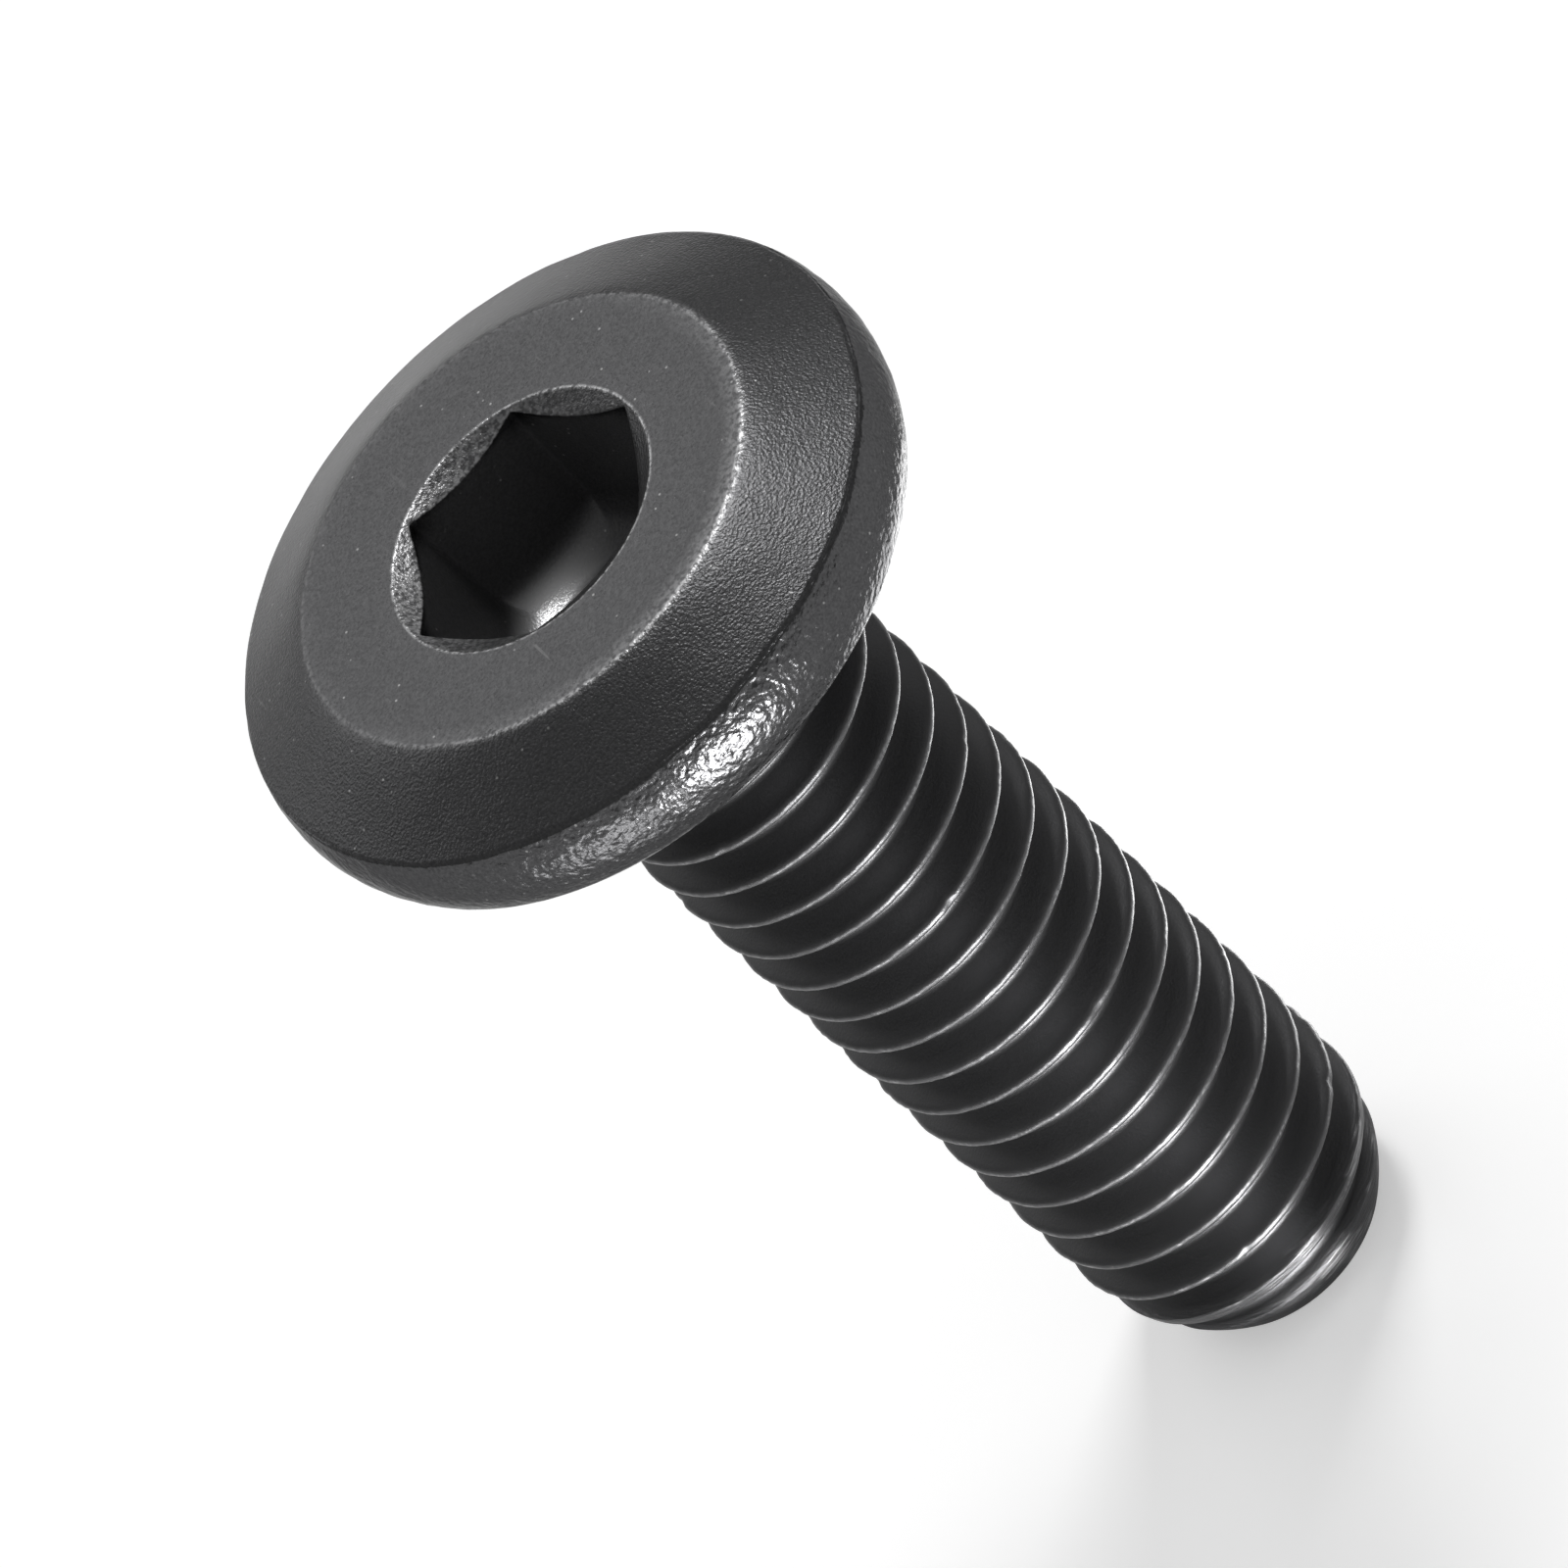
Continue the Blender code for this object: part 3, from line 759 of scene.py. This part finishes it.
# %% Material: colour and gloss
intact = add_node(tree, "Math", {0: 1.0, 1: worn}, operation="SUBTRACT")
shank_skin = add_node(tree, "Math", {0: share_of["shank"], 1: intact}, operation="MULTIPLY")
grain_share = add_node(tree, "MapRange", {0: noise["grain"], 1: 0.30, 2: 0.70})
two_greys = {0: grain_share, 6: linear("#434344"), 7: linear("#525253")}
colour = add_node(tree, "Mix", two_greys, 2, data_type="RGBA")
for share, layer in (
    (speck, "#8A8A8A"),
    # bared steel, which on one side of the bevel's edge and the countersink also paints highlights
    (worn, "#A8A8A9"),  # bared steel
    (shank_skin, "#484849"),
    # a near-white polished spot on one side of the socket's bottom, which is also a painted highlight
    (share_of["polish_and_highlight"], "#EAEAEB"),
):
    colour = add_node(tree, "Mix", {0: share, 6: colour, 7: linear(layer)}, 2, data_type="RGBA")

off_crest = add_node(tree, "Math", {0: 1.0, 1: wear["crest_wear"]}, operation="SUBTRACT")
dull_shank = add_node(tree, "Math", {0: share_of["shank"], 1: off_crest}, operation="MULTIPLY")
gloss = add_node(tree, "MapRange", {0: noise["bath"], 1: 0.3, 2: 0.7, 3: 0.34, 4: 0.33})
for share, change in (
    (share_of["rim"], -0.10), (share_of["pressed"], 0.04), (dull_shank, 0.10),
    (share_of["polish_and_highlight"], -0.08), (share_of["shank_end"], 0.08),
):
    gloss = add_node(tree, "Math", {0: share, 1: change, 2: gloss}, operation="MULTIPLY_ADD")
print("nodes so far:", len(tree.nodes))

# %% [markdown]
# Bump and shader
#
# The bump's height is in millimetres, so its Distance is one millimetre. The head has the full grain, the
# pressed socket and the rolled shank have less, the rim has dimples of its own, and the nose has rings from
# the scraping. Where the skin isn't bare metal, as in the socket, less light is mirrored. The rim and the
# shank's end mirror the pale table at a flat angle, and the specular tint halves that reflection there,
# which is a painted shade.

# %% Material: bump and shader
depth = add_node(tree, "MapRange", {0: share_of["rim"], 3: 0.0125, 4: 0.0065})
depth = add_node(tree, "Math", {0: share_of["pressed"], 1: -0.008, 2: depth}, operation="MULTIPLY_ADD")
shank_calm = add_node(tree, "MapRange", {0: share_of["shank"], 3: 1.0, 4: 0.35})
depth = add_node(tree, "Math", {0: depth, 1: shank_calm}, operation="MULTIPLY")
depth = add_node(tree, "Math", {0: share_of["polish_and_highlight"], 1: 0.005, 2: depth}, operation="MULTIPLY_ADD")
relief = add_node(tree, "Math", {0: noise["grain"], 1: depth}, operation="MULTIPLY")
for pattern, area, most in (("dimples", "rim", 0.031), ("rings", "nose_wear", 0.030)):
    deep = add_node(tree, "Math", {0: share_of[area], 1: most}, operation="MULTIPLY")
    relief = add_node(tree, "Math", {0: noise[pattern], 1: deep, 2: relief}, operation="MULTIPLY_ADD")
bump = add_node(tree, "Bump", {"Strength": 1.0, "Distance": MM, "Height": relief})

bare = add_node(tree, "MapRange", {0: share_of["pressed"], 3: 1.0, 4: 0.35})
bare = add_node(tree, "Math", {0: share_of["shank"], 1: -0.15, 2: bare}, operation="MULTIPLY_ADD")
bare = add_node(tree, "Math", {0: bare, 1: share_of["polish_and_highlight"]}, operation="MAXIMUM")
# Painted shade: on the rim and the shank's end the specular tint falls to half, which darkens the table that
# they mirror at a flat angle.
reflection_shade = add_node(tree, "Math", {0: share_of["rim"], 1: share_of["shank_end"]}, operation="MAXIMUM")
mirrored = add_node(tree, "MapRange", {0: reflection_shade, 3: 1.0, 4: 0.5})
tint = add_node(tree, "CombineColor", {0: mirrored, 1: mirrored, 2: mirrored})
shader = add_node(tree, "BsdfPrincipled", {
    "Base Color": colour, "Metallic": bare, "Roughness": gloss, "Specular Tint": tint, "Normal": bump,
})
add_node(tree, "OutputMaterial", {"Surface": shader})
mesh.materials.append(steel)
print("material nodes:", len(tree.nodes))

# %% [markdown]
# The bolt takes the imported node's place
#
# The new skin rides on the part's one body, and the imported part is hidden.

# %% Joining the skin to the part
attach(bolt, "root")
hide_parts("connector_bolt")
skin_low, skin_high = points.min(axis=0), points.max(axis=0)
print("skin box in mm", (skin_high - skin_low).round(3).tolist())

# %% [markdown]
# The floor
#
# A pale table that runs on past the picture's edges. Its own colour is white, and it gives a little light
# of its own to camera and mirror-like rays only, so that it shows as white and the steel mirrors the same
# white. The rest of its brightness comes from the lamps, so the bolt's soft shadow stays on it.

# %% Floor
FLOOR_REACH = 3.0
FLOOR_GLOW = 0.42
floor_mesh = bpy.data.meshes.new("floor")
floor_corners = [(x * FLOOR_REACH, y * FLOOR_REACH, 0) for x, y in ((-1, -1), (1, -1), (1, 1), (-1, 1))]
floor_mesh.from_pydata(floor_corners, [], [(0, 1, 2, 3)])
floor = bpy.data.objects.new("floor", floor_mesh)
bpy.context.scene.collection.objects.link(floor)

pale = bpy.data.materials.new("pale_table")
pale.use_nodes = True
tree = pale.node_tree
tree.nodes.clear()
ray_is = add_node(tree, "LightPath").node.outputs
seen = add_node(tree, "Math", {0: ray_is["Is Camera Ray"], 1: ray_is["Is Glossy Ray"]}, operation="MAXIMUM")
seen = add_node(tree, "Math", {0: seen, 1: ray_is["Is Transmission Ray"]}, operation="MAXIMUM")
glow_strength = add_node(tree, "Math", {0: seen, 1: FLOOR_GLOW}, operation="MULTIPLY")
glow = add_node(tree, "Emission", {"Color": (1, 1, 1, 1), "Strength": glow_strength})
matt = add_node(tree, "BsdfDiffuse", {"Color": linear("#E6E6E6")})
both = add_node(tree, "AddShader", {0: matt, 1: glow})
add_node(tree, "OutputMaterial", {"Surface": both})
floor_mesh.materials.append(pale)
print("floor", 2 * FLOOR_REACH, "m wide")

# %% [markdown]
# Light
#
# Metal shows what stands round it, so each lamp is placed by the part of the bolt that mirrors it. A lamp's
# power is worked out from the brightness that its face should have. A dim grey world fills the rest, which
# keeps the near bevel and the thread's flanks dark.

# %% World and softboxes
ROOM_GREY = 0.33
LAMP_DISTANCE = 0.6  # metres
SOFTBOXES = {  # direction from the bolt, width and height in metres, brightness
    "back_softbox": ((-0.20, 0.78, 0.62), 0.48, 0.36, 1.38),
    "top_right_softbox": ((0.32, 0.33, 0.89), 0.14, 0.14, 22.0),
    "right_fill": ((0.60, 0.56, 0.58), 0.20, 0.24, 0.5),
}

world = bpy.data.worlds.new("dim_room")
bpy.context.scene.world = world
world.use_nodes = True
background = world.node_tree.nodes["Background"]
background.inputs["Color"].default_value = (1, 1, 1, 1)
background.inputs["Strength"].default_value = ROOM_GREY


def add_lamp(name, place, turned_by, width, tall, brightness, spread=math.pi):
    """Adds a rectangular lamp that shines along its own -Z, and that the camera doesn't see.

    With half the spread s, a narrow spread makes a lamp brighter on its axis by tan(s) / (tan(s) - s). So
    the power is brightness times pi times the area, times 1 - s / tan(s), which is 1 at the full spread."""
    data = bpy.data.lights.new(name, "AREA")
    data.shape, data.size, data.size_y = "RECTANGLE", width, tall
    data.spread = spread
    data.energy = brightness * math.pi * width * tall * (1 - spread / 2 / math.tan(spread / 2))
    lamp = bpy.data.objects.new(name, data)
    bpy.context.scene.collection.objects.link(lamp)
    lamp.location = place
    lamp.rotation_mode = "QUATERNION"
    lamp.rotation_quaternion = turned_by
    lamp.visible_camera = False


bolt_middle = Vector((0, 0, 14 * MM))
for name, (direction, width, tall, brightness) in SOFTBOXES.items():
    outward = Vector(direction).normalized()
    turned_by = outward.to_track_quat("Z", "Y")
    add_lamp(name, bolt_middle + outward * LAMP_DISTANCE, turned_by, width, tall, brightness)
print("softboxes:", len(SOFTBOXES), "room at", ROOM_GREY)

# %% [markdown]
# The bright flash on the rim and the white lines of the crests come from light that lies low in front and
# looks up at the bolt. A lamp there would have to stand partly under the floor. So it is cut into slats,
# like a blind: each slat stands on the floor, leans towards the bolt, and covers one stretch of its height.
# A narrow spread keeps each slat's light on its own stretch.


# %% Slatted low lamps
FIRST_SLAT = 3.0  # mm from the bolt's axis
OFF_FLOOR = 0.2 * MM


def slatted_lamp(name, heading, rise, slats, slat_height, half_width, brightness, spread):
    """A row of leaning slats on the floor, which shine along a direction that rises towards the bolt.

    A slat of height h across the direction covers h / cos(rise) of the bolt's height. The next one stands
    further off by that height over tan(rise). Each is as wide as half_width says for the distance: its full
    width over twice the distance. Angles are in degrees and heights in millimetres."""
    heading, rise = math.radians(heading), math.radians(rise)
    flat = Vector((math.cos(heading), math.sin(heading), 0))
    behind_slat = flat * math.cos(rise) - Vector((0, 0, math.sin(rise)))
    up_slat = flat * math.sin(rise) + Vector((0, 0, math.cos(rise)))
    step = slat_height / math.cos(rise) / math.tan(rise)
    for i in range(slats):
        away = (FIRST_SLAT + i * step) * MM  # from the axis to the slat's foot
        middle = flat * away + up_slat * (slat_height * MM / 2) + Vector((0, 0, OFF_FLOOR))
        width = 2 * half_width * (away + 1.5 * MM)
        add_lamp("%s_%d" % (name, i), middle, behind_slat.to_track_quat("Z", "Y"),
                 width, slat_height * MM, brightness, math.radians(spread))


slatted_lamp("front_slat", -98, 30, 9, 2.3, 0.20, 56, 54)
slatted_lamp("left_slat", -140, 34, 9, 2.2, 0.24, 11, 50)

# %% [markdown]
# The right side of the rim mirrors a bright patch of the table beside the shank. It is a small lamp that
# lies on the floor there and shines straight up: a lamp shines along its -Z, so it is turned half round its
# X axis.

# %% Panel on the table
PANEL_PLACE, PANEL_SIZE = Vector((10.75, 6.5, 0.3)) * MM, (9.5 * MM, 15 * MM)
add_lamp("low_panel", PANEL_PLACE, Quaternion((1, 0, 0), math.pi), *PANEL_SIZE, 7.0)

# %% [markdown]
# Last steps
#
# The picture is shown with plain Standard colours.

# %% Standard view transform
bpy.context.scene.view_settings.view_transform = "Standard"
